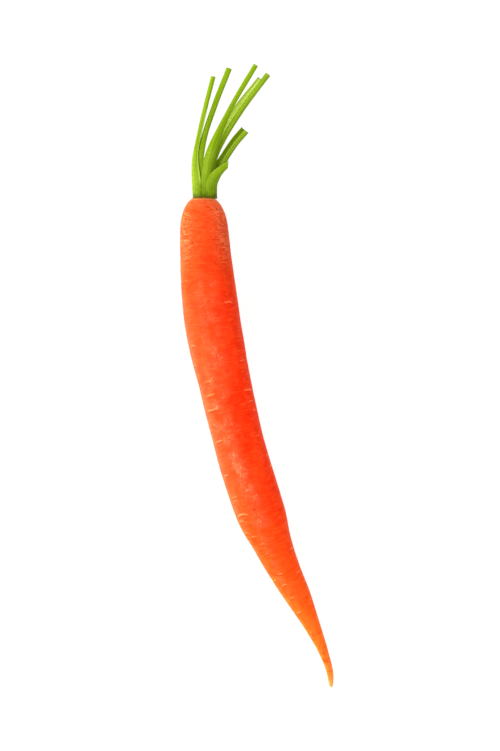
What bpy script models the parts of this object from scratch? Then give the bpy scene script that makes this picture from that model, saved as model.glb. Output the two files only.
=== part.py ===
"""A fresh carrot with its leaves trimmed off, lying on its side.

The root runs along Y with the crown at +Y and the thin tail at -Y. Its bow lies flat in
the XY plane and its lower side rests on z = 0. Seven cut leaf stalks fan out of the crown.
"""

import math

import bmesh
import bpy
from mathutils import Vector

MM = 0.001

# Driving dimensions of the root, in millimetres.
ROOT_THICKEST_RADIUS = 12.8
CROWN_HEIGHT = 11.2
ROOT_SIDES = 36
# Distance below the crown, sideways bow, radius as a share of the thickest, and height
# of the centre line over the table.
ROOT_STATIONS = (
    (0.0, 0.0, 0.397, 11.2),
    (0.9, -0.24, 0.48, 11.2),
    (2.6, -0.70, 0.60, 11.2),
    (5.8, -1.50, 0.735, 11.2),
    (9.8, -2.4, 0.82, 11.2),
    (15.5, -3.7, 0.87, 11.25),
    (26.0, -5.8, 0.91, 11.7),
    (44.0, -8.8, 0.985, 12.6),
    (61.0, -10.8, 1.00, 12.8),
    (85.0, -12.0, 0.945, 12.15),
    (115.0, -12.7, 0.905, 11.65),
    (135.0, -12.0, 0.90, 11.55),
    (148.0, -11.1, 0.875, 11.2),
    (161.0, -9.7, 0.715, 9.2),
    (174.0, -7.6, 0.59, 7.6),
    (190.0, -4.1, 0.45, 5.8),
    (204.0, -1.4, 0.29, 3.8),
    (217.0, 0.5, 0.17, 2.3),
    (228.0, 0.9, 0.10, 1.7),
    (232.6, 0.1, 0.05, 1.3),
)

# The crown leans over against the chord of the root. Its own axes are u (across),
# v (up the leaves) and w (straight up from the table), with 0 on the crown plate.
CROWN_LEAN = math.radians(14.7)
JOINT_GAP = 0.3
STALK_SIDES = 20
SPANS_PER_STATION = 3

ROOT_COLOUR = (0.87, 0.13, 0.02)
STALK_COLOUR = (0.28, 0.47, 0.01)
YOUNG_STALK_COLOUR = (0.58, 0.80, 0.18)

# Each stalk: its centre line in (u, v, w), then the section at the base and at the cut
# end as half the width along the arc, half the thickness, the radius the section is bent
# to and the direction its outer face looks (degrees from u towards w), then the length
# of the sheath over which the base section turns into the end one. "knife" is a point
# and a normal of a slanted cut; the other ends are trimmed square.
STALKS = {
    "leaf_stalk_left": dict(
        path=((-3.65, 0, 2.1), (-4.0, 9, 2.5), (-3.85, 18, 2.8), (-2.25, 27, 2.9),
              (0.65, 40, 2.6), (4.5, 55.4, 1.8)),
        base=(3.3, 0.62, 4.0, 147), end=(1.1, 0.95, 3.0, 125), sheath=22),
    "leaf_stalk_inner_left": dict(
        path=((-2.3, 0, 0.0), (-1.65, 9, 0.7), (-1.05, 18, 1.4), (0.65, 28, 1.4),
              (4.35, 40, 0.5), (11.7, 59.5, -1.4)),
        base=(1.5, 0.6, 3.2, 158), end=(1.25, 1.1, 3.0, 95), sheath=26, swell=0.1),
    "leaf_stalk_middle": dict(
        path=((0.0, 0, 2.75), (1.1, 9, 3.0), (2.9, 18, 3.2), (6.3, 27.5, 3.3),
              (12.6, 41, 3.3), (24.0, 60.6, 2.8)),
        base=(2.2, 0.7, 3.4, 90), end=(1.0, 0.95, 3.0, 75), sheath=44, swell=0.5),
    "leaf_stalk_pale": dict(
        path=((-1.75, 0, -2.8), (-0.5, 9, -2.7), (2.1, 18, -2.8), (7.2, 27.5, -2.9),
              (14.7, 40.5, -2.9), (26.0, 54.7, -2.8)),
        base=(1.6, 0.6, 4.0, 235), end=(1.75, 0.55, 1.7, 275), sheath=30,
        knife=((25.3, 55.4, 0), (-0.71, 0.70, 0.15))),
    "leaf_stalk_right": dict(
        path=((1.8, 0, -0.5), (3.0, 9, -0.1), (5.1, 18, 0.3), (9.8, 28, 0.4),
              (17.7, 40.5, 0.6), (29.6, 56.6, 0.6)),
        base=(1.4, 0.8, 3.2, 30), end=(1.3, 1.1, 3.0, 50), sheath=30, swell=0.25),
    "leaf_stub_channelled": dict(
        path=((1.7, 0, -3.8), (3.5, 6, -3.7), (6.6, 13, -3.5), (10.7, 20, -3.4),
              (14.8, 26, -3.4), (19.1, 31, -3.6)),
        base=(2.3, 0.55, 4.2, 296), end=(2.9, 0.6, 1.8, 283), sheath=20),
    "leaf_stub_front": dict(
        path=((4.3, 0, 2.0), (4.2, 3.2, 2.7), (4.6, 7, 3.6), (6.2, 10.3, 4.3),
              (8.9, 13.0, 4.9), (13.0, 16.0, 5.3)),
        base=(2.9, 0.62, 4.0, 34), end=(1.25, 0.7, 2.4, 80), sheath=16, swell=0.3,
        knife=((11.8, 15.4, 0), (1.0, -0.12, 0.1))),
}


def material(name, colour, roughness):
    made = bpy.data.materials.new(name)
    made.use_nodes = True
    surface = made.node_tree.nodes["Principled BSDF"]
    surface.inputs["Base Color"].default_value = (*colour, 1)
    surface.inputs["Roughness"].default_value = roughness
    return made


def smooth_path(stations, spans):
    """Points of a Catmull-Rom spline through the stations, with the ends run straight on."""
    points = [Vector(station) for station in stations]
    points = [2 * points[0] - points[1], *points, 2 * points[-1] - points[-2]]
    run = []
    for i in range(1, len(points) - 2):
        before, start, end, after = points[i - 1:i + 3]
        for step in range(spans):
            t = step / spans
            run.append(0.5 * (2 * start + (end - before) * t
                              + (2 * before - 5 * start + 4 * end - after) * t * t
                              + (3 * start - before - 3 * end + after) * t ** 3))
    return [*run, points[-2]]


def crown_to_world(point):
    lean, height = CROWN_LEAN, CROWN_HEIGHT
    u, v, w = point
    return Vector((u * math.cos(lean) + v * math.sin(lean),
                   v * math.cos(lean) - u * math.sin(lean), w + height)) * MM


def stalk_ring(centre, along, share, shape):
    """One bent oval section, square to the stalk."""
    half_width, half_thick, bend, facing = (
        low + (high - low) * share for low, high in zip(shape["base"], shape["end"]))
    half_width += shape.get("swell", 0) * math.sin(math.pi * share) ** 2
    outward = Vector((math.cos(math.radians(facing)), 0, math.sin(math.radians(facing))))
    outward = (outward - along * outward.dot(along)).normalized()
    across = along.cross(outward)
    ring = []
    for side in range(STALK_SIDES):
        turn = 2 * math.pi * side / STALK_SIDES
        radius = bend + half_thick * math.sin(turn)
        swing = half_width * math.cos(turn) / bend
        ring.append(centre + across * radius * math.sin(swing)
                    + outward * (radius * math.cos(swing) - bend))
    return ring


def stalk(name, shape, coating, home):
    """A leaf stalk lofted from the sheath that clasps the crown to its trimmed end."""
    line = smooth_path(shape["path"], SPANS_PER_STATION)
    body = bmesh.new()
    rings = []
    for i, centre in enumerate(line):
        along = (line[min(i + 1, len(line) - 1)] - line[max(i - 1, 0)]).normalized()
        share = min(centre.y / shape["sheath"], 1)
        share = share * share * (3 - 2 * share)
        ring = stalk_ring(centre, along, share, shape)
        if i == 0:
            ring = [point - along * (point.y / along.y) for point in ring]
        rings.append([body.verts.new(point) for point in ring])
    for low, high in zip(rings, rings[1:]):
        for side in range(STALK_SIDES):
            after = (side + 1) % STALK_SIDES
            body.faces.new((low[side], low[after], high[after], high[side]))
    body.faces.new(reversed(rings[0]))
    body.faces.new(rings[-1])
    if "knife" in shape:
        blade_point, blade_normal = shape["knife"]
        everything = body.verts[:] + body.edges[:] + body.faces[:]
        bmesh.ops.bisect_plane(body, geom=everything, plane_co=blade_point,
                               plane_no=blade_normal, clear_outer=True)
        rim = [edge for edge in body.edges if edge.is_boundary]
        bmesh.ops.holes_fill(body, edges=rim)
    for point in body.verts:
        point.co = crown_to_world(point.co + Vector((0, JOINT_GAP, 0)))
    bmesh.ops.recalc_face_normals(body, faces=body.faces)
    for face in body.faces:
        face.smooth = len(face.verts) == 4
    mesh = bpy.data.meshes.new(name)
    body.to_mesh(mesh)
    body.free()
    mesh.materials.append(coating)
    made = bpy.data.objects.new(name, mesh)
    home.objects.link(made)


def taproot(home, coating):
    """The bowed, tapering root: a round bar that swells under the crown and ends in a tail."""
    line = bpy.data.curves.new("taproot", "CURVE")
    line.dimensions = "3D"
    line.resolution_u = 4
    line.bevel_depth = ROOT_THICKEST_RADIUS * MM
    line.bevel_resolution = ROOT_SIDES // 4 - 1
    line.use_fill_caps = True
    spline = line.splines.new("BEZIER")
    spline.radius_interpolation = "CARDINAL"
    spline.bezier_points.add(len(ROOT_STATIONS) - 1)
    for point, station in zip(spline.bezier_points, ROOT_STATIONS):
        below, bow, share, height = station
        point.co = Vector((bow, -below, height)) * MM
        point.radius = share
        point.handle_left_type = point.handle_right_type = "AUTO"
    line.materials.append(coating)
    made = bpy.data.objects.new("taproot", line)
    home.objects.link(made)


for startup in list(bpy.data.objects):
    bpy.data.objects.remove(startup)
carrot = bpy.data.collections.new("carrot")
bpy.context.scene.collection.children.link(carrot)
taproot(carrot, material("carrot skin", ROOT_COLOUR, 0.45))
for stalk_name, stalk_shape in STALKS.items():
    pale = stalk_name == "leaf_stalk_pale"
    green = material(stalk_name, YOUNG_STALK_COLOUR if pale else STALK_COLOUR, 0.5)
    stalk(stalk_name, stalk_shape, green, carrot)

# The origin goes under the middle of the whole carrot, on the table.
bpy.context.view_layer.update()
graph = bpy.context.evaluated_depsgraph_get()
corners = []
for made in carrot.objects:
    shown = made.evaluated_get(graph)
    corners += [vert.co.copy() for vert in shown.to_mesh().vertices]
    shown.to_mesh_clear()
low = Vector(min(corner[axis] for corner in corners) for axis in range(3))
high = Vector(max(corner[axis] for corner in corners) for axis in range(3))
for made in carrot.objects:
    made.location = (-(low.x + high.x) / 2, -(low.y + high.y) / 2, -low.z)
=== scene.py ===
"""A fresh carrot, leaves trimmed, lying on its side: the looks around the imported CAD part."""

import math

import bmesh
import bpy
import numpy as np
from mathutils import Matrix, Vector, noise


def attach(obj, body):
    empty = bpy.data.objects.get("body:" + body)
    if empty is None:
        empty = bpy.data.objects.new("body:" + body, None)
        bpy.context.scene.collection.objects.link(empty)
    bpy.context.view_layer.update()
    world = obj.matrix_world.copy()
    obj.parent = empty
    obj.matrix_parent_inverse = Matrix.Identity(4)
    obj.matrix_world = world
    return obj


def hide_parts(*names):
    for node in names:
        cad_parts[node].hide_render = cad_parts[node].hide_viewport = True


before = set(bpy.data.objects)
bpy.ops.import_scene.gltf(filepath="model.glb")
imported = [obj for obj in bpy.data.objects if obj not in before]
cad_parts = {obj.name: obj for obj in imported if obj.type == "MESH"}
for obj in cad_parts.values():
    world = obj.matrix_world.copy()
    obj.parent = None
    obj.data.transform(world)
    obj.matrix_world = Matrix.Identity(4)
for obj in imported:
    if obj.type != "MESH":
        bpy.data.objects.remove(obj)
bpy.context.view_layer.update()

# ======================================================================================
# TAPROOT
# One swollen root of crisp orange flesh under a thin live skin, washed and not peeled.
# It grew as a single body: blunt at the crown, widest a quarter of the way down, bowed,
# and drawn out into a thread of a tail. Nothing joins it.
# ======================================================================================
MM = 0.001
CROWN = np.array((-9.752, 88.549, 0.055))  # mm, under the middle of the crown plate
THICKEST = 12.8  # mm, radius
# Distance below the crown, sideways bow, radius as a share of the thickest, and height
# of the middle over the table: the same stations as the CAD root.
STATIONS = np.array((
    (0.0, 0.0, 0.397, 11.2), (0.9, -0.24, 0.48, 11.2), (2.6, -0.70, 0.60, 11.2),
    (5.8, -1.50, 0.735, 11.2), (9.8, -2.4, 0.82, 11.2), (15.5, -3.7, 0.87, 11.25),
    (26.0, -5.8, 0.91, 11.7), (44.0, -8.8, 0.985, 12.6), (61.0, -10.8, 1.00, 12.8),
    (85.0, -12.0, 0.945, 12.15), (115.0, -12.7, 0.905, 11.65), (135.0, -12.0, 0.90, 11.55),
    (148.0, -11.1, 0.875, 11.2), (161.0, -9.7, 0.715, 9.2), (174.0, -7.6, 0.59, 7.6),
    (190.0, -4.1, 0.45, 5.8), (204.0, -1.4, 0.29, 3.8), (217.0, 0.5, 0.17, 2.3),
    (228.0, 0.9, 0.10, 1.7), (232.6, 0.1, 0.05, 1.3)))
ROOT_SIDES = 144
ROOT_CUTS = (24, 23)  # of the first and the second pass along the length
PLATE_RINGS, TIP_RINGS = 16, 9  # over the crown plate, and round the blunt tip
PLATE_EDGE, SIDE_END = 0.06, 232.4  # mm below the crown, where the long side begins and ends


def bar(name, sides, passes, fill):
    """A round bar of radius 1 from z = -1 to z = 1, cut across into rings."""
    bpy.ops.object.select_all(action="DESELECT")
    bpy.ops.mesh.primitive_cylinder_add(vertices=sides, radius=1, depth=2, end_fill_type=fill)
    made = bpy.context.object
    made.name = made.data.name = name
    bpy.ops.object.mode_set(mode="EDIT")
    bpy.ops.mesh.select_mode(type="EDGE")
    for cuts in passes:
        bpy.ops.mesh.select_all(action="DESELECT")
        shell = bmesh.from_edit_mesh(made.data)
        for edge in shell.edges:
            edge.select_set(abs(edge.verts[0].co.z - edge.verts[1].co.z) > 1e-6)
        bpy.ops.mesh.subdivide(number_cuts=cuts)
    bpy.ops.object.mode_set(mode="OBJECT")
    return made


def places(mesh, field="co"):
    """Every vertex's place or normal, as rows of numbers."""
    flat = np.empty(len(mesh.vertices) * 3)
    mesh.vertices.foreach_get(field, flat)
    return flat.reshape(-1, 3)


def move(mesh, points):
    mesh.vertices.foreach_set("co", points.ravel())
    mesh.update()


def note(mesh, name, values):
    """Writes a number or a vector for every vertex, for the material to read."""
    kind, field = ("FLOAT_VECTOR", "vector") if values.ndim == 2 else ("FLOAT", "value")
    made = mesh.attributes.new(name, kind, "POINT")
    made.data.foreach_set(field, np.asarray(values, np.float32).ravel())


def cubic(at, knots, values):
    """A smooth curve through the values at the knots."""
    steps = np.diff(knots)
    slopes = np.diff(values, axis=0) / steps[:, None]
    bends = np.empty_like(values)
    bends[0], bends[-1] = slopes[0], slopes[-1]
    bends[1:-1] = ((slopes[:-1] * steps[1:, None] + slopes[1:] * steps[:-1, None])
                   / (steps[1:] + steps[:-1])[:, None])
    i = np.clip(np.searchsorted(knots, at) - 1, 0, len(knots) - 2)
    h = steps[i][:, None]
    u = ((at - knots[i]) / steps[i])[:, None]
    return ((1 + 2 * u) * (1 - u) ** 2 * values[i] + u * (1 - u) ** 2 * h * bends[i]
            + u * u * (3 - 2 * u) * values[i + 1] + u * u * (u - 1) * h * bends[i + 1])


def ease(x, low, high):
    """0 below low, 1 above high, and a smooth turn between them."""
    x = np.clip((x - low) / (high - low), 0, 1)
    return x * x * (3 - 2 * x)


def lumps(points, size, seed):
    """Soft noise from -1 to 1 over points in mm; size is the lumps' size along x, y, z."""
    scaled = points / np.array(size, float) + seed * 17.3
    return np.array([noise.noise(Vector(p)) for p in scaled])


taproot = bar("root_skin", ROOT_SIDES, ROOT_CUTS, "TRIFAN")
raw = places(taproot.data)
spans = (ROOT_CUTS[0] + 1) * (ROOT_CUTS[1] + 1)
ring = np.rint((raw[:, 2] + 1) / 2 * spans).astype(int)  # 0 at the crown
hub = np.hypot(raw[:, 0], raw[:, 1]) < 0.5
angle = np.where(hub, 0.0, np.arctan2(raw[:, 0], raw[:, 1]))  # 0 looks up, + is to the right

# The rings' places and radii: over the crown plate, down the long side, round the tip.
plate = np.linspace(0, 1, PLATE_RINGS)
plate_below = np.interp(plate, (0, 0.8, 0.92, 1), (-0.22, -0.22, -0.14, PLATE_EDGE))
plate_radius = np.interp(plate, (0, 0.8, 0.92, 1), (0.25, 4.35, 4.9, 5.16))
side_below = np.linspace(PLATE_EDGE, SIDE_END, spans + 2 - PLATE_RINGS - TIP_RINGS)[1:]
side_radius = cubic(side_below, STATIONS[:, 0], STATIONS[:, 2:3])[:, 0] * THICKEST
side_radius += 0.3 * ease(side_below, 222, 232)  # the tail snapped off blunt
tip = np.linspace(0, 1.45, TIP_RINGS + 1)[1:]
ring_below = np.concatenate((plate_below, side_below, SIDE_END + 1.5 * np.sin(tip)))
ring_radius = np.concatenate((plate_radius, side_radius, 0.96 * np.cos(tip)))
below, radius = ring_below[ring], np.where(hub, 0.0, ring_radius[ring])


def middle(at):
    """The root's middle line: its place, and its sideways and upward directions."""
    at = np.clip(at, 0, None)
    line = cubic(at, STATIONS[:, 0], STATIONS[:, (1, 3)])
    ahead = cubic(at + 0.5, STATIONS[:, 0], STATIONS[:, (1, 3)])
    down = np.column_stack((ahead[:, 0] - line[:, 0], np.full(len(at), -0.5),
                            (ahead[:, 1] - line[:, 1])))
    down /= np.linalg.norm(down, axis=1)[:, None]
    side = np.cross((0, 0, 1), down)
    side /= np.linalg.norm(side, axis=1)[:, None]
    return np.column_stack((line[:, 0], -at, line[:, 1])), side, np.cross(down, side), down


centre, side, up, down = middle(np.minimum(below, SIDE_END))
# The crown plate swells a little past the first station, and the tip past the side's end.
raised = (np.minimum(below, 0) + np.maximum(below - SIDE_END, 0))[:, None]
body = (centre + down * raised
        + radius[:, None] * (side * np.sin(angle)[:, None] + up * np.cos(angle)[:, None]))
move(taproot.data, (body + CROWN) * MM)

# The root rolled out straight, for patterns that run round it or along it without a seam.
straight = np.column_stack((radius * np.sin(angle), radius * np.cos(angle), below))
girth = np.clip(radius / 10, 0, 1)
off_ends = ease(below, 0.8, 4) * ease(233 - below, 0, 4)

# Growth relief, in mm: broad swellings, fine crosswise creases, closest on the shoulder.
degrees = np.degrees(angle)
# Painted light: the left flank, lit from that side, is painted more orange; it is also truly coarser.
coarse_and_painted_lit_flank = ease(-np.sin(angle), -0.75, 0.75)  # the left flank is coarser and more orange
relief = 0.22 * girth * off_ends * lumps(straight, (11, 11, 17), 1)
relief += 0.10 * girth * off_ends * lumps(straight, (5, 5, 6), 2)
wrinkled = (np.exp(-((degrees + 50) / 21) ** 2) * ease(below, 4, 9) * (1 - ease(below, 21, 36))
            + np.exp(-((degrees - 50) / 24) ** 2) * ease(below, 3, 7) * (1 - ease(below, 16, 38))
            + 0.8 * np.exp(-((np.abs(degrees) - 150) / 26) ** 2) * ease(below, 3, 8)
            * (1 - ease(below, 18, 36)))
wrinkled = np.clip(wrinkled * (1.05 + 0.5 * lumps(straight, (5, 5, 5), 5)), 0, 1)
crease = 1 - 2.6 * np.abs(lumps(straight, (9, 9, 1.25), 3))
relief += (crease * (0.018 + 0.017 * coarse_and_painted_lit_flank + 0.07 * wrinkled) * ease(below, 1.5, 5)
           * (0.35 + 0.65 * girth))
relief += 0.03 * girth * off_ends * lumps(straight, (4, 4, 0.8), 4)

# Dull, pale pink patches: a mottled strip that wanders down the root, thickest below the
# shoulder, and another along its back.
strip = np.interp(below, (0, 40, 68, 95, 118, 130, 143, 165, 190, 233),
                  (-4, -2, -10, -22, -20, -12, -2, -22, -30, -30))
wide = np.interp(below, (0, 40, 70, 100, 120, 150, 190, 233), (14, 24, 24, 26, 15, 15, 18, 20))
blotch = lumps(straight, (4.2, 4.2, 5), 6)
haze = np.exp(-((degrees - strip) / wide) ** 2) * np.clip(0.7 + 1.2 * blotch, 0, 1.2)
haze *= ease(below, 26, 50) * (1 - ease(below, 150, 200)) * (0.7 + 0.5 * ease(below, 112, 122)
                                                            * (1 - ease(below, 142, 152)))
behind = np.exp(-((np.abs(degrees) - 165) / 30) ** 2) * np.clip(0.3 + 1.6 * blotch, 0, 1)
haze += behind * ease(below, 30, 60) * (1 - ease(below, 170, 210))

# Crosswise scars where side roots began: (below, angle, half length, depth, slope, bow),
# mm and degrees; they stand in four rows down the root.
scar_spots = [
    (49.2, 41, 2.8, 1.0, 0, 0.05), (76.9, 54, 2.0, 0.9, 0, 0), (90.7, 55, 3.6, 1.0, 0.1, 0.02),
    (96.0, 56, 2.0, 0.8, 0, 0), (100.4, 63, 1.8, 0.8, 0, 0), (28.1, -49, 1.8, 0.6, 0, 0),
    (37.8, -52, 1.5, 0.6, 0.1, 0), (65.9, -57, 2.1, 0.9, 0, 0.05), (74.5, -66, 1.5, 0.8, 0, 0.1),
    (82.8, -37, 2.2, 0.9, 0, 0.04), (89.3, -39, 2.6, 0.9, -0.1, 0.03),
    (96.3, -43, 4.4, 1.0, -0.05, -0.02), (103.4, -46, 2.0, 0.8, 0.75, 0),
    (105.2, -70, 2.0, 0.9, -0.1, 0), (110.7, -50, 2.9, 1.1, -0.1, 0.01),
    (126.2, -56, 2.4, 1.0, -0.05, 0.02), (136.6, -55, 2.6, 0.8, 0, 0.02), (138.4, -52, 2.0, 0.8, 0, 0),
    (144.9, -48, 3.9, 1.1, 0, 0.05), (147.4, -56, 1.8, 0.9, 0, 0.08), (152.9, -59, 2.0, 0.9, 0.2, 0),
    (154.9, -40, 1.8, 0.7, 0, 0.1), (159.3, -28, 1.4, 0.7, 0, 0), (164.5, -27, 1.2, 0.7, 0, 0.1),
    (175.4, -18, 1.5, 1.1, 0, 0.1), (180.8, -27, 1.5, 1.3, 0, 0.2), (187.7, -28, 1.6, 1.1, 0, 0.1),
    (195.3, -33, 1.6, 1.3, 0, 0.1), (177.5, -57, 0.8, 1.5, 0, 0), (206.4, -32, 0.7, 1.5, 0, 0),
    (216.8, -14, 0.8, 1.2, 0, 0), (219.4, -40, 0.6, 1.0, 0, 0), (128.0, 70, 1.4, 0.8, 0, 0),
    (171.4, 72, 1.3, 1.1, 0, 0), (178.3, 74, 1.2, 1.1, 0, 0), (187.9, 76, 1.1, 1.1, 0, 0)]
chance = np.random.default_rng(11)
for row in (-140, 138, 66):
    spot = 24.0
    while spot < 214:
        spot += chance.uniform(5, 15)
        if row != 66 or spot > 105:
            scar_spots.append((spot, row + chance.normal(0, 9), chance.uniform(0.9, 3.0),
                          chance.uniform(0.5, 1.1), chance.normal(0, 0.06), 0.03))
# Faint short ones scattered between the rows.
for _ in range(46):
    scar_spots.append((chance.uniform(30, 200), chance.uniform(-180, 180), chance.uniform(0.8, 2.4),
                  chance.uniform(0.25, 0.5), chance.normal(0, 0.15), chance.normal(0, 0.05)))
scar = np.zeros(len(raw))  # + on a lip, - in a groove
for spot, turn, half, depth, slope, bow in scar_spots:
    around = (degrees - turn + 180) % 360 - 180
    across = np.radians(around) * radius
    half *= chance.uniform(0.9, 1.1)
    tall = 0.27 + 0.04 * half
    wave = 0.12 * np.sin(across * 2.6 + turn)
    high = below - spot - slope * across - bow * across ** 2 - wave
    near = (1 - ease(np.abs(across) / half, 0.5, 1.15)) * (np.abs(around) < 90)
    groove = np.exp(-(high / tall) ** 2) * near * (0.35 + 0.65 * coarse_and_painted_lit_flank)
    lip = np.exp(-((high + 1.9 * tall) / tall) ** 2) * near
    relief += depth * (0.16 * lip - 0.2 * groove) * (0.4 + 0.6 * girth)
    scar = np.where(lip * depth > np.abs(scar), lip * depth, scar)
    scar = np.where(groove * depth > np.abs(scar), -groove * depth, scar)
# A few small rotted specks, red-brown: (below, angle, radius).
speck = np.zeros(len(raw))
for spot, turn, size in ((20.8, -28, 0.9), (22.3, -24, 0.5), (25.0, -32, 0.6), (5.4, 42, 0.6),
                         (81.4, -22, 0.5), (143.6, -11, 0.8), (191.1, 1, 0.45), (60, 165, 0.7),
                         (112, -160, 0.6), (33, 100, 0.6), (131, 96, 0.5)):
    across = np.radians((degrees - turn + 180) % 360 - 180) * radius
    speck = np.maximum(speck, np.exp(-((below - spot) / (0.7 * size)) ** 2 - (across / size) ** 2))
move(taproot.data, (body + CROWN) * MM + places(taproot.data, "normal") * relief[:, None] * MM)
note(taproot.data, "straight", straight)
note(taproot.data, "scar", scar)
note(taproot.data, "wrinkled", wrinkled)
note(taproot.data, "haze", haze)
note(taproot.data, "coarse_and_painted_lit_flank", coarse_and_painted_lit_flank)
note(taproot.data, "speck", speck)
bpy.ops.object.shade_smooth()


def paint(code):
    """An sRGB colour such as #F25A1E as linear numbers."""
    parts = [int(code[i:i + 2], 16) / 255 for i in (1, 3, 5)]
    return (*(c / 12.92 if c <= 0.04045 else ((c + 0.055) / 1.055) ** 2.4 for c in parts), 1)


def add(finish, kind, wires, stops=(), **settings):
    """A node with its settings; wires gives each input a value or another node's output."""
    tree = finish.node_tree
    made = tree.nodes.new("ShaderNode" + kind)
    for name, value in settings.items():
        setattr(made, name, value)
    for socket, value in wires.items():
        if isinstance(value, bpy.types.NodeSocket):
            tree.links.new(value, made.inputs[socket])
        else:
            made.inputs[socket].default_value = value
    for i, (place, code) in enumerate(stops):
        ramp = made.color_ramp.elements
        stop = ramp[i] if i < len(ramp) and i < 2 else ramp.new(place)
        stop.position, stop.color = place, paint(code)
    return made.outputs[{"Mix": 2, "Attribute": 1}.get(kind, 0)] if made.outputs else None


def finish_of(name):
    made = bpy.data.materials.new(name)
    made.use_nodes = True
    made.node_tree.nodes.clear()
    return made


def noted(finish, name):
    """The number that note() wrote under this name."""
    return add(finish, "Attribute", {}, attribute_name=name).node.outputs["Fac"]


def share_of(finish, value, low, high, most=1.0):
    """0 where the value is low, and most where it is high."""
    return add(finish, "MapRange", {"Value": value, "From Min": low, "From Max": high,
                                    "To Max": most})


def both(finish, one, other):
    """Two shares as one."""
    return add(finish, "Math", {0: one, 1: other}, operation="MULTIPLY")


def cover(finish, under, share, code):
    """Lays a colour over what is under it, by a share from 0 to 1."""
    return add(finish, "Mix", {0: share, 6: under, 7: paint(code)}, data_type="RGBA")


# Washed carrot skin: translucent flesh glows red-orange through it, with finer bands
# round the root, paler cork on the scars, and a thin dry film that catches light edge on.
skin_finish = finish_of("washed carrot skin")
rolled = add(skin_finish, "Attribute", {}, attribute_name="straight")
under_crown = add(skin_finish, "SeparateXYZ", {0: rolled}).node.outputs["Z"]
mixed = add(skin_finish, "ValToRGB", {0: share_of(skin_finish, under_crown, 0.0, 233.0)}, stops=(
    (0.0, "#F48850"), (0.012, "#E66C3A"), (0.03, "#D85620"), (0.07, "#D24A16"), (0.13, "#E0420C"),
    (0.2, "#EE3404"), (0.45, "#F42C00"), (0.6, "#F63802"), (0.68, "#F84A08"), (0.76, "#F85A10"),
    (0.84, "#F86E16"), (0.93, "#F88C2C"), (0.985, "#FBA040"), (1.0, "#FFC46C")))


def scaled(size, seed=0.0):
    """The rolled-out root, in units of size (mm round, mm along)."""
    return add(skin_finish, "Mapping", {
        "Vector": rolled, "Scale": (1 / size[0], 1 / size[0], 1 / size[1]),
        "Location": (seed, seed * 1.7, seed * 0.6)})


# Painted light: the left flank, which the light falls on, is painted more orange than the shaded right
# one.
painted_lit_flank = noted(skin_finish, "coarse_and_painted_lit_flank")
mixed = cover(skin_finish, mixed, share_of(skin_finish, painted_lit_flank, 0.0, 1.0, 0.3), "#FC6418")
# Patches a centimetre or so across, where the flesh under the skin is paler or redder.
patches = add(skin_finish, "TexNoise", {"Vector": scaled((7, 16)), "Scale": 1.0, "Detail": 3.0})
mixed = cover(skin_finish, mixed, share_of(skin_finish, patches, 0.42, 0.66, 0.36), "#F65A1C")
# Mottles a few millimetres across, paler and redder.
mottle = add(skin_finish, "TexNoise", {"Vector": scaled((2.6, 1.9), 5.3), "Scale": 1.0,
                                       "Detail": 4.0, "Roughness": 0.62})
mixed = cover(skin_finish, mixed, share_of(skin_finish, mottle, 0.54, 0.74, 0.36), "#F8702E")
mixed = cover(skin_finish, mixed, share_of(skin_finish, mottle, 0.48, 0.28, 0.5), "#E42C04")
# Bands under a millimetre tall that run round the root.
bands = add(skin_finish, "TexNoise", {"Vector": scaled((6, 0.75), 3.1), "Scale": 1.0,
                                      "Detail": 4.0, "Roughness": 0.6})
mixed = cover(skin_finish, mixed, share_of(skin_finish, bands, 0.5, 0.72, 0.45), "#DC2402")
mixed = cover(skin_finish, mixed, share_of(skin_finish, bands, 0.5, 0.3, 0.36), "#FE6830")
# Short red dashes across the upper third.
dashes = add(skin_finish, "TexNoise", {"Vector": scaled((3.4, 0.85), 12.4), "Scale": 1.0,
                                       "Detail": 2.0})
upper = share_of(skin_finish, under_crown, 100.0, 30.0, 0.55)
dashes = both(skin_finish, share_of(skin_finish, dashes, 0.55, 0.66), upper)
mixed = cover(skin_finish, mixed, dashes, "#CC2C06")
# Dull, paler pink patches, with tiny white flakes where they are strongest.
dull_patches = noted(skin_finish, "haze")
broken = add(skin_finish, "TexNoise", {"Vector": scaled((3.2, 2.4), 4.4), "Scale": 1.0,
                                       "Detail": 6.0, "Roughness": 0.72})
patchy = both(skin_finish, dull_patches, share_of(skin_finish, broken, 0.33, 0.55))
mixed = cover(skin_finish, mixed, share_of(skin_finish, patchy, 0.0, 1.0, 0.62), "#EC7C54")
flakes = add(skin_finish, "TexNoise", {"Vector": scaled((0.8, 1.0), 2.2), "Scale": 1.0, "Detail": 3.0})
flaky = both(skin_finish, patchy, share_of(skin_finish, flakes, 0.56, 0.68))
mixed = cover(skin_finish, mixed, share_of(skin_finish, flaky, 0.05, 0.8, 0.5), "#FFB890")
# Hair-fine cracks that net the dull patches into cells 4 mm across.
shaken = add(skin_finish, "VectorMath", {
    0: add(skin_finish, "TexNoise", {"Vector": scaled((2.5, 2.5), 8.8), "Scale": 1.0,
                                     "Detail": 3.0}).node.outputs["Color"],
    1: (1.2, 1.2, 1.2), 2: scaled((3.6, 4.6), 6.6)}, operation="MULTIPLY_ADD")
cells = add(skin_finish, "TexVoronoi", {"Vector": shaken, "Scale": 1.0},
            feature="DISTANCE_TO_EDGE")
crack = both(skin_finish, share_of(skin_finish, cells, 0.07, 0.0),
             share_of(skin_finish, dull_patches, 0.05, 0.5))
mixed = cover(skin_finish, mixed, share_of(skin_finish, crack, 0.0, 1.0, 0.6), "#D8380A")
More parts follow.
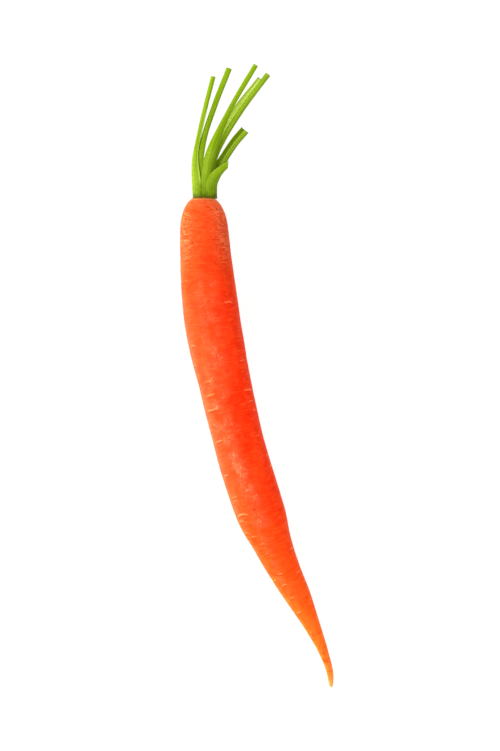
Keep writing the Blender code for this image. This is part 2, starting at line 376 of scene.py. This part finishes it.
# Wrinkles about 1 mm apart: painted shade in their wavy furrows, and painted highlight on the crests
# between them.
folds = add(skin_finish, "TexNoise", {"Vector": scaled((3.8, 0.88), 6.1), "Scale": 1.0,
                                      "Detail": 2.0, "Roughness": 0.55})
folds = add(skin_finish, "Math", {0: folds, 1: 0.5}, operation="SUBTRACT")
folds = add(skin_finish, "Math", {0: folds}, operation="ABSOLUTE")
shrunk = noted(skin_finish, "wrinkled")
furrow_painted_shade = both(skin_finish, share_of(skin_finish, folds, 0.055, 0.01), shrunk)
furrow_painted_shade = both(skin_finish, furrow_painted_shade, share_of(skin_finish, painted_lit_flank, -0.6, 1.0))
crest_relief_and_highlight = both(skin_finish, share_of(skin_finish, folds, 0.04, 0.12), shrunk)
mixed = cover(skin_finish, mixed, share_of(skin_finish, crest_relief_and_highlight, 0.0, 1.0, 0.44), "#FF9E6E")
mixed = cover(skin_finish, mixed, share_of(skin_finish, furrow_painted_shade, 0.0, 1.0, 0.6), "#C0400C")
# Small sunken specks, and a few larger rotted ones.
specks = add(skin_finish, "TexVoronoi", {"Vector": scaled((2.2, 1.6), 7.7), "Scale": 1.0})
mixed = cover(skin_finish, mixed, share_of(skin_finish, specks, 0.15, 0.07, 0.5), "#C03208")
rotted = noted(skin_finish, "speck")
mixed = cover(skin_finish, mixed, share_of(skin_finish, rotted, 0.2, 0.8, 0.85), "#AC1C04")
# Cork on the lip of each scar, and painted shade, a dark red, in its groove.
scars = noted(skin_finish, "scar")
mixed = cover(skin_finish, mixed, share_of(skin_finish, scars, 0.12, 0.95, 0.6), "#FFA268")
mixed = cover(skin_finish, mixed, share_of(skin_finish, scars, -0.15, -0.9, 0.75), "#B42C04")
# The corky ring round the leaf bases, tan outside; its dark brown against the stalks is
# partly cork and partly painted shade where the stalks meet the root.
ragged = add(skin_finish, "TexNoise", {"Vector": scaled((1.5, 1.5), 9.2), "Scale": 1.0})
edge = add(skin_finish, "Math", {0: ragged, 1: 0.7, 2: under_crown}, operation="MULTIPLY_ADD")
ring_colour = add(skin_finish, "ValToRGB", {0: share_of(skin_finish, edge, 0.3, 1.3)}, stops=(
    (0.0, "#5A3C0C"), (0.3, "#A0601C"), (0.6, "#D88040"), (1.0, "#F48C54")))
mixed = add(skin_finish, "Mix", {0: share_of(skin_finish, edge, 0.9, 1.7), 6: ring_colour, 7: mixed},
            data_type="RGBA")

# Bands differ in gloss, and bands, pores and crests stand up by hundredths of a millimetre.
gloss = add(skin_finish, "MapRange", {"Value": bands, "To Min": 0.42, "To Max": 0.58})
pores = add(skin_finish, "TexNoise", {"Vector": scaled((0.5, 0.3), 1.3), "Scale": 1.0, "Detail": 2.0})
ridges = add(skin_finish, "Math", {0: crest_relief_and_highlight, 1: 1.5, 2: pores}, operation="MULTIPLY_ADD")
rough_skin = add(skin_finish, "Math", {0: bands, 1: 2.5, 2: ridges}, operation="MULTIPLY_ADD")
bump = add(skin_finish, "Bump", {"Height": rough_skin, "Strength": 0.8, "Distance": 0.09 * MM})
surface = add(skin_finish, "BsdfPrincipled", {
    "Base Color": mixed, "Roughness": gloss, "Normal": bump, "IOR": 1.4,
    "Subsurface Weight": 1.0, "Subsurface Radius": (1.0, 0.06, 0.03),
    "Subsurface Scale": 15 * MM, "Specular IOR Level": 0.06,
    "Sheen Weight": 0.15, "Sheen Roughness": 0.32, "Sheen Tint": paint("#FFE0BC")})
add(skin_finish, "OutputMaterial", {"Surface": surface})
taproot.data.materials.append(skin_finish)
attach(taproot, "root")
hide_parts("taproot")

# ======================================================================================
# LEAF STALKS
# Five long and two short stalks, all that is left of the leaves. Each is a juicy, ribbed
# green rod that widens at its foot into a thin sheath. The sheaths grow out of the crown,
# wrapped round each other, and a knife trimmed the tops.
# ======================================================================================
LEAN = math.radians(14.7)  # of the crown's own axes u (across), v (up the leaves), w (up)
CROWN_HEIGHT = STATIONS[0, 3]
STALK_SIDES = 56
LONG_CUTS, SHORT_CUTS = (9, 11), (7, 8)  # two passes along a long stalk and along a stub
FOOT_GAP, FOOT_SUNK = 0.3, 0.5  # mm: the CAD foot's height over the crown, and how far it sinks
PITH_STEP = 0.16  # mm, width of each ring of a square cut end
# Each stalk: middle line in (u, v, w) mm, then its section at the foot and at the cut as
# half width, half thickness, radius it is bent to, and the direction its outer face looks
# in degrees, then the sheath's length. Feet sit in the crown plate. Lines are lengthwise
# pale (+) or dark (-): place across it from -1 to 1, half width, strength, and the heights
# between which each shows. Some pale ones are the real pale margins and veins; the broad
# pale bands are painted highlight on faces the light falls on, and the dark ones painted
# shade, in channels and on faces turned from the light.
STALKS = {
    "leaf_stalk_left": dict(
        path=((-3.65, 0, 1.95), (-4.0, 9, 2.25), (-3.85, 18, 2.6), (-2.25, 27, 2.8),
              (0.65, 40, 2.6), (4.5, 55.4, 1.8)),
        foot=(3.75, 0.66, 4.0, 143), cut=(1.12, 0.95, 3.0, 125), sheath=26,
        margins_and_painted_light=((0.88, 0.16, 1.1, 5, 42), (-0.2, 0.6, 0.15, 2, 24))),
    "leaf_stalk_inner_left": dict(
        path=((-2.3, 0, 0.3), (-1.9, 9, 1.5), (-1.5, 18, 2.3), (0.45, 28, 2.0),
              (4.3, 40, 0.8), (11.7, 59.5, -1.4)),
        foot=(2.1, 0.75, 3.2, 140), cut=(1.27, 1.1, 3.0, 95), sheath=34, swell=0.1,
        margins_and_painted_light=((0.9, 0.1, 0.6, 6, 30), (-0.9, 0.3, 0.7, 6, 34))),
    "leaf_stalk_middle": dict(
        path=((0.0, 0, 3.05), (1.1, 9, 3.35), (2.9, 18, 3.4), (6.3, 27.5, 3.4),
              (12.6, 41, 3.3), (24.0, 60.6, 2.8)),
        foot=(2.9, 0.72, 3.8, 90), cut=(1.1, 1.0, 3.0, 75), sheath=44, swell=0.45,
        margins_and_painted_light=((-0.2, 0.4, 0.22, 8, 24), (-0.93, 0.08, 0.6, 5, 36), (0.93, 0.08, 0.7, 16, 34))),
    "leaf_stalk_pale": dict(
        path=((-1.75, 0, -2.8), (-0.5, 9, -2.7), (2.1, 18, -2.8), (7.2, 27.5, -2.9),
              (14.7, 40.5, -2.9), (26.0, 54.7, -2.8)),
        foot=(1.6, 0.6, 4.0, 235), cut=(1.5, 0.55, 1.7, 275), sheath=30,
        knife=((25.3, 55.4, 0), (-0.71, 0.70, 0.15)),
        margins_and_painted_light=((0.75, 0.42, -0.55, 36, 70),)),
    "leaf_stalk_right": dict(
        path=((1.8, 0, -0.5), (3.0, 9, -0.1), (5.1, 18, 0.3), (9.8, 28, 0.4),
              (17.7, 40.5, 0.6), (29.6, 56.6, 0.6)),
        foot=(1.7, 0.8, 3.2, 35), cut=(1.3, 1.1, 3.0, 50), sheath=30, swell=0.25,
        margins_and_painted_light=((-0.85, 0.1, 0.8, 14, 32), (-0.5, 0.35, 0.25, 28, 60))),
    "leaf_stub_channelled": dict(
        path=((1.7, 0, -3.8), (3.5, 6, -3.7), (6.6, 13, -3.5), (10.7, 20, -3.4),
              (14.8, 26, -3.4), (19.1, 31, -3.6)),
        foot=(2.3, 0.55, 4.2, 296), cut=(2.9, 0.6, 1.8, 283), sheath=20,
        margins_and_painted_light=((0.6, 0.35, -0.75, 17, 40), (0.0, 0.1, 1.2, 13, 40), (-0.5, 0.25, 0.35, 8, 40),
               (-0.98, 0.12, -0.4, 12, 40))),
    "leaf_stub_front": dict(
        path=((4.3, 0, 2.0), (4.2, 3.2, 2.7), (4.6, 7, 3.6), (6.2, 10.3, 4.3),
              (8.9, 13.0, 4.9), (13.0, 16.0, 5.3)),
        foot=(4.5, 0.62, 4.0, 54), cut=(1.25, 0.7, 2.4, 80), sheath=16, swell=0.3,
        knife=((11.8, 15.4, 0), (1.0, -0.12, 0.1)),
        margins_and_painted_light=((-0.9, 0.12, 0.9, 8, 19), (0.5, 0.4, -0.3, 6, 19))),
}


def crown_to_frame(points):
    """Places in the crown's own u, v, w as places in the frame, in metres."""
    u, v, w = points.T
    return (np.column_stack((u * math.cos(LEAN) + v * math.sin(LEAN),
                             v * math.cos(LEAN) - u * math.sin(LEAN), w + CROWN_HEIGHT))
            + CROWN) * MM


def leaf_stalk(name, shape):
    """A stalk drawn along its line, from the bent sheath at its foot to the cut."""
    cuts = LONG_CUTS if shape["path"][-1][1] > 40 else SHORT_CUTS
    made = bar(name + "_skin", STALK_SIDES, cuts, "NGON")
    raw = places(made.data)
    along = (raw[:, 2] + 1) / 2
    turn = np.arctan2(raw[:, 1], raw[:, 0])
    path = np.array(shape["path"], float)
    knots = np.concatenate(([0], np.cumsum(np.linalg.norm(np.diff(path, axis=0), axis=1))))
    line = cubic(along * knots[-1], knots, path)
    ahead = (cubic(along * knots[-1] + 0.05, knots, path) - line) / 0.05
    ahead /= np.linalg.norm(ahead, axis=1)[:, None]
    share = ease(line[:, 1] / shape["sheath"], 0, 1)
    foot, cut = np.array(shape["foot"], float), np.array(shape["cut"], float)
    half_width, half_thick, bend, facing = (foot + (cut - foot) * share[:, None]).T
    half_width = half_width + shape.get("swell", 0) * np.sin(np.pi * share) ** 2
    facing = np.radians(facing)
    outward = np.column_stack((np.cos(facing), 0 * facing, np.sin(facing)))
    outward -= ahead * (outward * ahead).sum(1)[:, None]
    outward /= np.linalg.norm(outward, axis=1)[:, None]
    across = np.cross(ahead, outward)
    reach = bend + half_thick * np.sin(turn)
    swing = half_width * np.cos(turn) / bend
    points = (line + across * (reach * np.sin(swing))[:, None]
              + outward * (reach * np.cos(swing) - bend)[:, None])
    level = along < 1e-6
    points[level] -= ahead[level] * (points[level, 1] / ahead[level, 1])[:, None]
    # Feet reach about 0.4 mm into the swollen crown plate, so that no light shows under them.
    points[:, 1] += FOOT_GAP - FOOT_SUNK * (1 - ease(line[:, 1], 0, 4))
    move(made.data, crown_to_frame(points))
    # Ribs along the outer face, in mm, and the slight unevenness of a grown thing.
    fibre = np.column_stack((half_width * np.cos(turn), half_thick * np.sin(turn) * 2,
                             along * knots[-1]))
    ribs = 0.035 * np.cos(9 * turn + 0.4) * ease(np.sin(turn), -0.5, 0.3)
    ribs += 0.05 * lumps(fibre, (3, 3, 9), len(name))
    move(made.data, places(made.data) + places(made.data, "normal") * ribs[:, None]
         * ease(line[:, 1], 0, 3)[:, None] * MM)
    note(made.data, "fibre", fibre)
    note(made.data, "face", np.sin(turn))
    margin_and_painted_light = 0 * turn
    for place, half, strength, low, high in shape.get("margins_and_painted_light", ()):
        shown = ease(line[:, 1], low, low + 4) * (1 - ease(line[:, 1], high - 5, high))
        margin_and_painted_light += strength * np.exp(-((np.cos(turn) - place) / half) ** 2) * shown
    note(made.data, "margin_and_painted_light", margin_and_painted_light)
    note(made.data, "rise", line[:, 1])
    bpy.ops.object.mode_set(mode="EDIT")
    if "knife" in shape:
        # One slanting stroke of the knife.
        at, facing_out = np.array(shape["knife"], float)
        at = crown_to_frame(at[None] + (0, FOOT_GAP, 0))[0]
        lean = np.array((facing_out[0] * math.cos(LEAN) + facing_out[1] * math.sin(LEAN),
                         facing_out[1] * math.cos(LEAN) - facing_out[0] * math.sin(LEAN),
                         facing_out[2]))
        bpy.ops.mesh.select_all(action="SELECT")
        bpy.ops.mesh.bisect(plane_co=at, plane_no=lean, use_fill=True, clear_outer=True)
    # The cut end: a firm rim, and softer pith that dries back a little inside it.
    bpy.ops.mesh.select_mode(type="FACE")
    bpy.ops.mesh.select_all(action="DESELECT")
    shell = bmesh.from_edit_mesh(made.data)
    shell.faces.ensure_lookup_table()
    ends = [face for face in shell.faces if len(face.verts) > 6]
    end = max(ends, key=lambda face: face.calc_center_median().y)
    end.select_set(True)
    shell.faces.active = end
    end.material_index = 1
    bmesh.update_edit_mesh(made.data)
    step = 0.1 if "knife" in shape else PITH_STEP
    for depth in (0, -0.09, -0.03):
        bpy.ops.mesh.inset(thickness=step * MM, depth=depth * MM)
    bpy.ops.object.mode_set(mode="OBJECT")
    bpy.ops.object.shade_smooth_by_angle(angle=math.radians(42))
    return made


# Fresh leaf stalk: waxy bright green over pale fibres that show as streaks along it. The
# foot is paler on its back and darkens to brown just over the crown, partly its own brown
# base and partly painted shade where it meets the root.
def stalk_finish(name, body_stops, streak_dark, streak_pale, inner):
    finish = finish_of(name)
    rise = noted(finish, "rise")
    mixed = add(finish, "ValToRGB", {0: share_of(finish, rise, 0.0, 60.0)}, stops=body_stops)
    # Fibres 0.5 mm apart and centimetres long.
    fibre = add(finish, "Attribute", {}, attribute_name="fibre")
    drawn = add(finish, "Mapping", {"Vector": fibre, "Scale": (1.8, 1.8, 0.06)})
    streaks = add(finish, "TexNoise", {"Vector": drawn, "Scale": 1.0, "Detail": 1.5})
    mixed = cover(finish, mixed, share_of(finish, streaks, 0.5, 0.72, 0.5), streak_dark)
    mixed = cover(finish, mixed, share_of(finish, streaks, 0.48, 0.28, 0.4), streak_pale)
    mixed = cover(finish, mixed, share_of(finish, noted(finish, "face"), 0.1, -0.5, 0.6), inner)
    # Lines along the ribs and the margins of the sheath: the pale margins and veins are real, the
    # broad pale bands are painted highlight and the dark lines painted shade.
    margin_and_painted_light = noted(finish, "margin_and_painted_light")
    mixed = cover(finish, mixed, share_of(finish, margin_and_painted_light, 0.0, -1.0, 0.8), "#567000")
    mixed = cover(finish, mixed, share_of(finish, margin_and_painted_light, 0.0, 1.0, 0.8), "#B8D050")
    # Darker blots low on the sheaths.
    blots = add(finish, "TexNoise", {
        "Vector": add(finish, "Mapping", {"Vector": fibre, "Scale": (0.6, 0.6, 0.5)}),
        "Scale": 1.0, "Detail": 3.0})
    blot = both(finish, share_of(finish, blots, 0.42, 0.6, 0.75), share_of(finish, rise, 7.0, 2.0))
    mixed = cover(finish, mixed, blot, "#4C6A00")
    ribbing = add(finish, "TexNoise", {"Vector": drawn, "Scale": 1.0, "Detail": 0.0})
    bump = add(finish, "Bump", {"Height": ribbing, "Strength": 0.4, "Distance": 0.05 * MM})
    surface = add(finish, "BsdfPrincipled", {
        "Base Color": mixed, "Roughness": 0.45, "Normal": bump, "IOR": 1.42,
        "Specular IOR Level": 0.12, "Subsurface Weight": 0.5,
        "Subsurface Radius": (0.7, 0.7, 0.7), "Subsurface Scale": 1.0 * MM,
        "Sheen Weight": 0.1, "Sheen Roughness": 0.3, "Sheen Tint": paint("#F0FFB0")})
    add(finish, "OutputMaterial", {"Surface": surface})
    return finish


green_finish = stalk_finish(
    "fresh green leaf stalk",
    ((0.0, "#4C3800"), (0.012, "#5E5600"), (0.026, "#648000"), (0.05, "#749400"),
     (0.1, "#789810"), (0.22, "#749600"), (0.45, "#7A9C00"), (1.0, "#82A600")),
    "#688A00", "#98B81C", "#7A9A00")
pale_finish = stalk_finish(
    "blanched young leaf stalk",
    ((0.0, "#4C3800"), (0.03, "#6E9208"), (0.3, "#80A010"), (0.5, "#8CAE14"), (0.64, "#B0CC3C"),
     (0.78, "#D0E868"), (0.88, "#E4FA88")), "#A8C63C", "#C6DE5C", "#D0E870")
# Cut pith: moist and spongy, so it is glossier than the skin and mottled light and dark
# green over a fraction of a millimetre.
cut_finish = finish_of("cut leaf stalk pith")
place = add(cut_finish, "TexCoord", {}).node.outputs["Object"]
sponge = add(cut_finish, "TexNoise", {"Vector": place, "Scale": 1 / (0.4 * MM)})
pith = add(cut_finish, "ValToRGB", {0: sponge}, stops=((0.35, "#6C8C0C"), (0.7, "#9CB83C")))
add(cut_finish, "OutputMaterial", {"Surface": add(cut_finish, "BsdfPrincipled", {
    "Base Color": pith, "Roughness": 0.3, "IOR": 1.4, "Subsurface Weight": 0.5,
    "Subsurface Radius": (0.5, 1.0, 0.2), "Subsurface Scale": 0.6 * MM})})

for name, shape in STALKS.items():
    stalk = leaf_stalk(name, shape)
    stalk.data.materials.append(pale_finish if name == "leaf_stalk_pale" else green_finish)
    stalk.data.materials.append(cut_finish)
    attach(stalk, "root")
    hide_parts(name)

# ======================================================================================
# TABLE, LIGHT AND CAMERA
# A white studio sweep all round that only the camera sees, which adds no light and takes no
# shadow; a big soft light high on the left; a second one low on the left, under the level
# of the table, which reaches the flank because the sweep blocks nothing; and a camera
# straight overhead.
# ======================================================================================
bpy.ops.object.select_all(action="DESELECT")
SWEEP_DEPTH = 8  # m
bpy.ops.mesh.primitive_cylinder_add(vertices=96, radius=6, depth=SWEEP_DEPTH,
                                    location=(0, 0, SWEEP_DEPTH / 2 - 0.2 * MM))
sweep = bpy.context.object
sweep.name = "studio_sweep"
bpy.ops.object.mode_set(mode="EDIT")
bpy.ops.mesh.flip_normals()
bpy.ops.object.mode_set(mode="OBJECT")
sweep_finish = finish_of("white studio sweep")
add(sweep_finish, "OutputMaterial", {"Surface": add(sweep_finish, "BsdfPrincipled", {
    "Base Color": paint("#4C4C4C"), "Roughness": 0.9, "Specular IOR Level": 0.0,
    "Emission Color": (1, 1, 1, 1), "Emission Strength": 0.96})})
sweep.data.materials.append(sweep_finish)
sweep.visible_diffuse = sweep.visible_glossy = sweep.visible_transmission = False
sweep.visible_shadow = False

sky = bpy.data.worlds.new("studio air")
sky.use_nodes = True
sky.node_tree.nodes["Background"].inputs["Color"].default_value = paint("#FFFBF4")
sky.node_tree.nodes["Background"].inputs["Strength"].default_value = 0.82
bpy.context.scene.world = sky


def softbox(name, place, target, width, height, watts, code):
    bpy.ops.object.light_add(type="AREA", location=place)
    lamp = bpy.context.object
    lamp.name, lamp.data.shape = name, "RECTANGLE"
    lamp.data.size, lamp.data.size_y, lamp.data.energy = width, height, watts
    lamp.data.color = paint(code)[:3]
    lamp.rotation_euler = (Vector(target) - Vector(place)).to_track_quat("-Z", "Y").to_euler()
    lamp.visible_camera = False


softbox("high_left_light", (-0.75, 0.1, 0.85), (0, 0, 0.01), 0.5, 0.9, 12, "#FFF8EA")
softbox("low_left_light", (-0.62, 0.0, -0.18), (0, 0, 0.01), 0.25, 0.9, 7.5, "#FFEACC")

CAMERA_TURN = math.radians(14.676)
CAMERA_RISE = 1.2  # m over the middle of the root
VIEW_LENGTH = 0.34546  # m, what the longer side of the picture takes in at that distance
camera = bpy.data.objects.new("overhead_camera", bpy.data.cameras.new("overhead_camera"))
bpy.context.scene.collection.objects.link(camera)
camera.data.sensor_width = 36
camera.data.lens = camera.data.sensor_width * CAMERA_RISE / VIEW_LENGTH
camera.data.clip_end = 20
camera.location = (-9.74 * MM, 4.15 * MM, 12 * MM + CAMERA_RISE)
camera.rotation_euler = (0, 0, -CAMERA_TURN)
bpy.context.scene.camera = camera
bpy.context.scene.view_settings.view_transform = "Standard"

bpy.context.view_layer.update()
